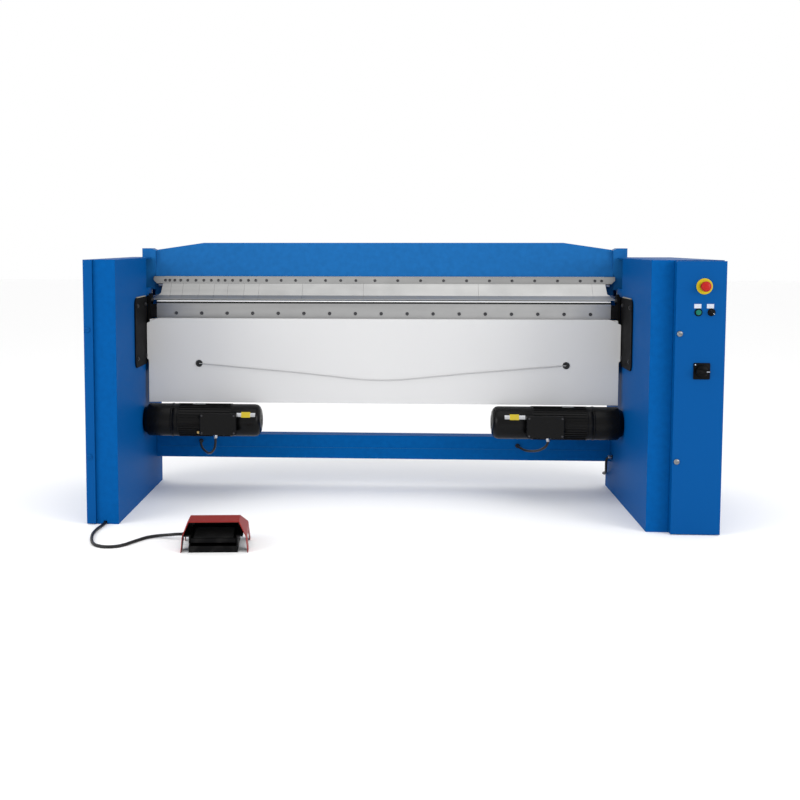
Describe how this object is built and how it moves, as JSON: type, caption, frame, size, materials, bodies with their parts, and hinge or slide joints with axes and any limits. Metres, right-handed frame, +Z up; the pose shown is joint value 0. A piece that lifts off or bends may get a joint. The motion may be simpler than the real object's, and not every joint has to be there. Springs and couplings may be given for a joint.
{
  "type": "sheet metal folding machine",
  "caption": "Motorised swing-beam sheet metal folder: side columns, lifting clamp beam with segmented tool, swinging bending beam, gear motors, door controls and foot switch.",
  "frame": {"origin": "middle of the footprint of the machine with its foot switch, on the floor", "axes": "+X along the bend line to the operator's right, +Y away from the operator, +Z up"},
  "size_m": [2.522, 1.3238, 1.143],
  "materials": {
    "column_blue": "semi-gloss blue powder coat",
    "beam_blue": "semi-gloss lighter blue powder coat",
    "apron_grey": "semi-gloss light grey paint",
    "ground_steel": "ground tool steel, fine lengthwise grain",
    "dark_steel": "turned dark steel",
    "black_paint": "satin black paint",
    "black_plastic": "moulded black plastic",
    "cable_rubber": "matt black cable sheath",
    "zinc_plate": "bright zinc plate",
    "hood_red": "semi-gloss dark red enamel",
    "signal_red": "glossy moulded red plastic",
    "signal_yellow": "satin yellow plastic",
    "signal_green": "glossy moulded green plastic"
  },
  "bodies": {
    "frame": {"left_column": "column_blue", "right_column": "column_blue", "electrical_cabinet": "column_blue", "mounting_plate": "zinc_plate", "drive_unit": "black_paint", "lower_rail": "column_blue", "lower_beam": "column_blue", "lower_clamp_bar": "ground_steel", "left_side_plate": "black_paint", "right_side_plate": "black_paint", "left_pivot_bearing": "dark_steel", "right_pivot_bearing": "dark_steel", "left_gearbox": "black_paint", "right_gearbox": "black_paint", "left_motor": "black_paint", "right_motor": "black_paint", "left_fan_cover": "black_paint", "right_fan_cover": "black_paint", "left_terminal_box": "black_paint", "right_terminal_box": "black_paint", "left_motor_lead": "cable_rubber", "right_motor_lead": "cable_rubber", "column_lead": "cable_rubber", "pedal_base": "black_plastic", "pedal_hood": "hood_red", "pedal_pin": "zinc_plate", "pedal_strain_relief": "black_plastic", "pedal_cable": "cable_rubber"},
    "bending_beam": {"bending_beam": "apron_grey", "apron": "apron_grey", "bend_bar": "ground_steel", "tension_rod": "zinc_plate", "left_pivot_arm": "black_paint", "right_pivot_arm": "black_paint"},
    "upper_beam": {"upper_beam": "beam_blue", "left_beam_lug": "beam_blue", "right_beam_lug": "beam_blue", "clamping_strip": "ground_steel", "clamp_segment_1": "ground_steel", "clamp_segment_2": "ground_steel", "clamp_segment_3": "ground_steel", "clamp_segment_4": "ground_steel", "clamp_segment_5": "ground_steel", "clamp_segment_6": "ground_steel", "clamp_segment_7": "ground_steel"},
    "left_lift_spindle": {"left_lift_spindle": "dark_steel"},
    "right_lift_spindle": {"right_lift_spindle": "dark_steel"},
    "left_cover": {"left_cover": "column_blue"},
    "cabinet_door": {"cabinet_door": "column_blue", "estop_plate": "signal_yellow", "main_switch_plate": "black_plastic"},
    "estop_button": {"estop_button": "signal_red"},
    "start_button": {"start_button": "signal_green"},
    "selector_knob": {"selector_knob": "black_plastic"},
    "main_switch_knob": {"main_switch_knob": "black_plastic"},
    "left_cover_lock_upper": {"left_cover_lock_upper": "zinc_plate"},
    "left_cover_lock_lower": {"left_cover_lock_lower": "zinc_plate"},
    "door_lock_upper": {"door_lock_upper": "zinc_plate"},
    "door_lock_lower": {"door_lock_lower": "zinc_plate"},
    "pedal_treadle": {"pedal_treadle": "black_plastic"}
  },
  "joints": [
    {"name": "bending_swing", "type": "hinge", "parent": "frame", "child": "bending_beam", "pos_m": [0, 0.34105, 0.886], "axis": [-1, 0, 0], "range_deg": [0, 135]},
    {"name": "beam_lift", "type": "slide", "parent": "frame", "child": "upper_beam", "axis": [0, 0, 1], "range_m": [0, 0.1]},
    {"name": "left_spindle_turn", "type": "hinge", "parent": "frame", "child": "left_lift_spindle", "pos_m": [-1.154, 0.48805, 0.3], "axis": [0, 0, 1], "range_deg": [-10, 3620]},
    {"name": "right_spindle_turn", "type": "hinge", "parent": "frame", "child": "right_lift_spindle", "pos_m": [1.004, 0.48805, 0.3], "axis": [0, 0, 1], "range_deg": [-10, 3620]},
    {"name": "left_cover_swing", "type": "hinge", "parent": "frame", "child": "left_cover", "pos_m": [-1.259, 0.63105, 0.5], "axis": [0, 0, 1], "range_deg": [-110, 0]},
    {"name": "cabinet_door_swing", "type": "hinge", "parent": "frame", "child": "cabinet_door", "pos_m": [1.261, -0.24715, 0.5], "axis": [0, 0, 1], "range_deg": [0, 110]},
    {"name": "estop_push", "type": "slide", "parent": "cabinet_door", "child": "estop_button", "axis": [0, 1, 0], "range_m": [0, 0.004], "stiffness_N_per_m": 1500, "springref_m": -0.002},
    {"name": "start_push", "type": "slide", "parent": "cabinet_door", "child": "start_button", "axis": [0, 1, 0], "range_m": [0, 0.003], "stiffness_N_per_m": 800, "springref_m": -0.001},
    {"name": "selector_turn", "type": "hinge", "parent": "cabinet_door", "child": "selector_knob", "pos_m": [1.205, -0.28595, 0.876], "axis": [0, 1, 0], "range_deg": [-90, 0]},
    {"name": "main_switch_turn", "type": "hinge", "parent": "cabinet_door", "child": "main_switch_knob", "pos_m": [1.1735, -0.28595, 0.6475], "axis": [0, 1, 0], "range_deg": [-90, 0]},
    {"name": "left_lock_upper_turn", "type": "hinge", "parent": "left_cover", "child": "left_cover_lock_upper", "pos_m": [-1.246, -0.25895, 0.795], "axis": [0, 1, 0], "range_deg": [0, 90]},
    {"name": "left_lock_lower_turn", "type": "hinge", "parent": "left_cover", "child": "left_cover_lock_lower", "pos_m": [-1.246, -0.25895, 0.279], "axis": [0, 1, 0], "range_deg": [0, 90]},
    {"name": "door_lock_upper_turn", "type": "hinge", "parent": "cabinet_door", "child": "door_lock_upper", "pos_m": [1.087, -0.28595, 0.792], "axis": [0, 1, 0], "range_deg": [0, 90]},
    {"name": "door_lock_lower_turn", "type": "hinge", "parent": "cabinet_door", "child": "door_lock_lower", "pos_m": [1.087, -0.28595, 0.291], "axis": [0, 1, 0], "range_deg": [0, 90]},
    {"name": "treadle_press", "type": "hinge", "parent": "frame", "child": "pedal_treadle", "pos_m": [-0.69737, -0.46406, 0.04], "axis": [0.9962, 0.0872, 0], "range_deg": [0, 6], "stiffness_Nm_per_rad": 12, "springref_deg": -14.32}
  ],
  "couplings": [
    {"joint": "left_spindle_turn", "follows": "beam_lift", "rad_per_m": 628.32},
    {"joint": "right_spindle_turn", "follows": "beam_lift", "rad_per_m": 628.32}
  ]
}
